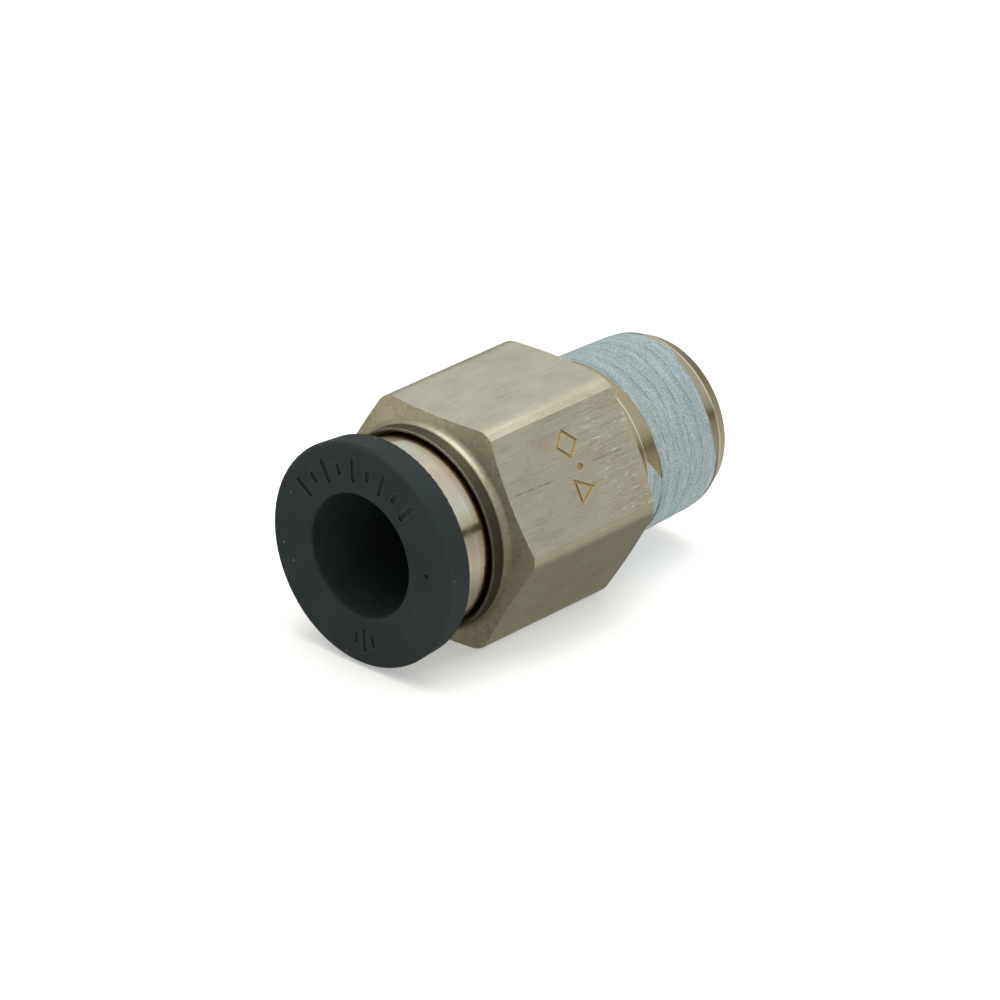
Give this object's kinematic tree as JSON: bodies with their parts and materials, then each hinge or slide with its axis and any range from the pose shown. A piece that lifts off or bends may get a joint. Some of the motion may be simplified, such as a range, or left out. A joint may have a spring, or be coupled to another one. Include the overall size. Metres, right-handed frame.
{
  "type": "push-to-connect fitting",
  "caption": "Straight push-in tube connector: hexagonal plated body, coated taper thread, and a black release ring that frees the tube when pressed.",
  "frame": {"origin": "on the axis, at the hexagon's end face on the thread side, which lies inside the tube seat", "axes": "+Y along the axis towards the threaded end, -Y towards the tube; +Z is the normal of one flat of the hexagon, and the fitting lies on the opposite flat"},
  "size_m": [0.0134, 0.0225, 0.012],
  "materials": {
    "nickel_plated_brass": "nickel plated over drawn hexagonal brass bar, satin with draw lines",
    "bright_nickel": "turned and nickel plated, bright",
    "black_acetal": "moulded acetal resin, satin",
    "dry_sealant": "dried acrylic thread sealant, matt and grainy",
    "spring_steel": "stamped stainless spring sheet",
    "plain_brass": "turned, unplated",
    "nitrile_rubber": "moulded nitrile rubber, matt"
  },
  "bodies": {
    "fitting": {"fitting_body": "nickel_plated_brass", "thread_sealant": "dry_sealant", "guide_ring": "bright_nickel", "seal_backing_ring": "plain_brass", "elastic_sleeve": "nitrile_rubber"},
    "claw_holder": {"lock_claw_ring": "spring_steel"},
    "release_button": {"release_ring": "black_acetal"},
    "claw_finger_01": {"lock_claw_01": "spring_steel"},
    "claw_finger_02": {"lock_claw_02": "spring_steel"},
    "claw_finger_03": {"lock_claw_03": "spring_steel"},
    "claw_finger_04": {"lock_claw_04": "spring_steel"},
    "claw_finger_05": {"lock_claw_05": "spring_steel"},
    "claw_finger_06": {"lock_claw_06": "spring_steel"},
    "claw_finger_07": {"lock_claw_07": "spring_steel"},
    "claw_finger_08": {"lock_claw_08": "spring_steel"},
    "claw_finger_09": {"lock_claw_09": "spring_steel"},
    "claw_finger_10": {"lock_claw_10": "spring_steel"},
    "claw_finger_11": {"lock_claw_11": "spring_steel"},
    "claw_finger_12": {"lock_claw_12": "spring_steel"}
  },
  "joints": [
    {"name": "claw_ring_spin", "type": "hinge", "parent": "fitting", "child": "claw_holder", "pos_m": [0, -0.00747, 0], "axis": [0, 1, 0], "continuous": true},
    {"name": "release_ring_push", "type": "slide", "parent": "claw_holder", "child": "release_button", "axis": [0, 1, 0], "range_m": [0, 0.001], "stiffness_N_per_m": 400},
    {"name": "claw_finger_01_tilt", "type": "hinge", "parent": "claw_holder", "child": "claw_finger_01", "pos_m": [0.004, -0.0075, 0], "axis": [0, 0, -1], "range_deg": [0, 25]},
    {"name": "claw_finger_02_tilt", "type": "hinge", "parent": "claw_holder", "child": "claw_finger_02", "pos_m": [0.00346, -0.0075, 0.002], "axis": [0.5, 0, -0.866], "range_deg": [0, 25]},
    {"name": "claw_finger_03_tilt", "type": "hinge", "parent": "claw_holder", "child": "claw_finger_03", "pos_m": [0.002, -0.0075, 0.00346], "axis": [0.866, 0, -0.5], "range_deg": [0, 25]},
    {"name": "claw_finger_04_tilt", "type": "hinge", "parent": "claw_holder", "child": "claw_finger_04", "pos_m": [0, -0.0075, 0.004], "axis": [1, 0, 0], "range_deg": [0, 25]},
    {"name": "claw_finger_05_tilt", "type": "hinge", "parent": "claw_holder", "child": "claw_finger_05", "pos_m": [-0.002, -0.0075, 0.00346], "axis": [0.866, 0, 0.5], "range_deg": [0, 25]},
    {"name": "claw_finger_06_tilt", "type": "hinge", "parent": "claw_holder", "child": "claw_finger_06", "pos_m": [-0.00346, -0.0075, 0.002], "axis": [0.5, 0, 0.866], "range_deg": [0, 25]},
    {"name": "claw_finger_07_tilt", "type": "hinge", "parent": "claw_holder", "child": "claw_finger_07", "pos_m": [-0.004, -0.0075, 0], "axis": [0, 0, 1], "range_deg": [0, 25]},
    {"name": "claw_finger_08_tilt", "type": "hinge", "parent": "claw_holder", "child": "claw_finger_08", "pos_m": [-0.00346, -0.0075, -0.002], "axis": [-0.5, 0, 0.866], "range_deg": [0, 25]},
    {"name": "claw_finger_09_tilt", "type": "hinge", "parent": "claw_holder", "child": "claw_finger_09", "pos_m": [-0.002, -0.0075, -0.00346], "axis": [-0.866, 0, 0.5], "range_deg": [0, 25]},
    {"name": "claw_finger_10_tilt", "type": "hinge", "parent": "claw_holder", "child": "claw_finger_10", "pos_m": [0, -0.0075, -0.004], "axis": [-1, 0, 0], "range_deg": [0, 25]},
    {"name": "claw_finger_11_tilt", "type": "hinge", "parent": "claw_holder", "child": "claw_finger_11", "pos_m": [0.002, -0.0075, -0.00346], "axis": [-0.866, 0, -0.5], "range_deg": [0, 25]},
    {"name": "claw_finger_12_tilt", "type": "hinge", "parent": "claw_holder", "child": "claw_finger_12", "pos_m": [0.00346, -0.0075, -0.002], "axis": [-0.5, 0, -0.866], "range_deg": [0, 25]}
  ],
  "couplings": [
    {"joint": "claw_finger_01_tilt", "follows": "release_ring_push", "rad_per_m": 430},
    {"joint": "claw_finger_02_tilt", "follows": "release_ring_push", "rad_per_m": 430},
    {"joint": "claw_finger_03_tilt", "follows": "release_ring_push", "rad_per_m": 430},
    {"joint": "claw_finger_04_tilt", "follows": "release_ring_push", "rad_per_m": 430},
    {"joint": "claw_finger_05_tilt", "follows": "release_ring_push", "rad_per_m": 430},
    {"joint": "claw_finger_06_tilt", "follows": "release_ring_push", "rad_per_m": 430},
    {"joint": "claw_finger_07_tilt", "follows": "release_ring_push", "rad_per_m": 430},
    {"joint": "claw_finger_08_tilt", "follows": "release_ring_push", "rad_per_m": 430},
    {"joint": "claw_finger_09_tilt", "follows": "release_ring_push", "rad_per_m": 430},
    {"joint": "claw_finger_10_tilt", "follows": "release_ring_push", "rad_per_m": 430},
    {"joint": "claw_finger_11_tilt", "follows": "release_ring_push", "rad_per_m": 430},
    {"joint": "claw_finger_12_tilt", "follows": "release_ring_push", "rad_per_m": 430}
  ]
}
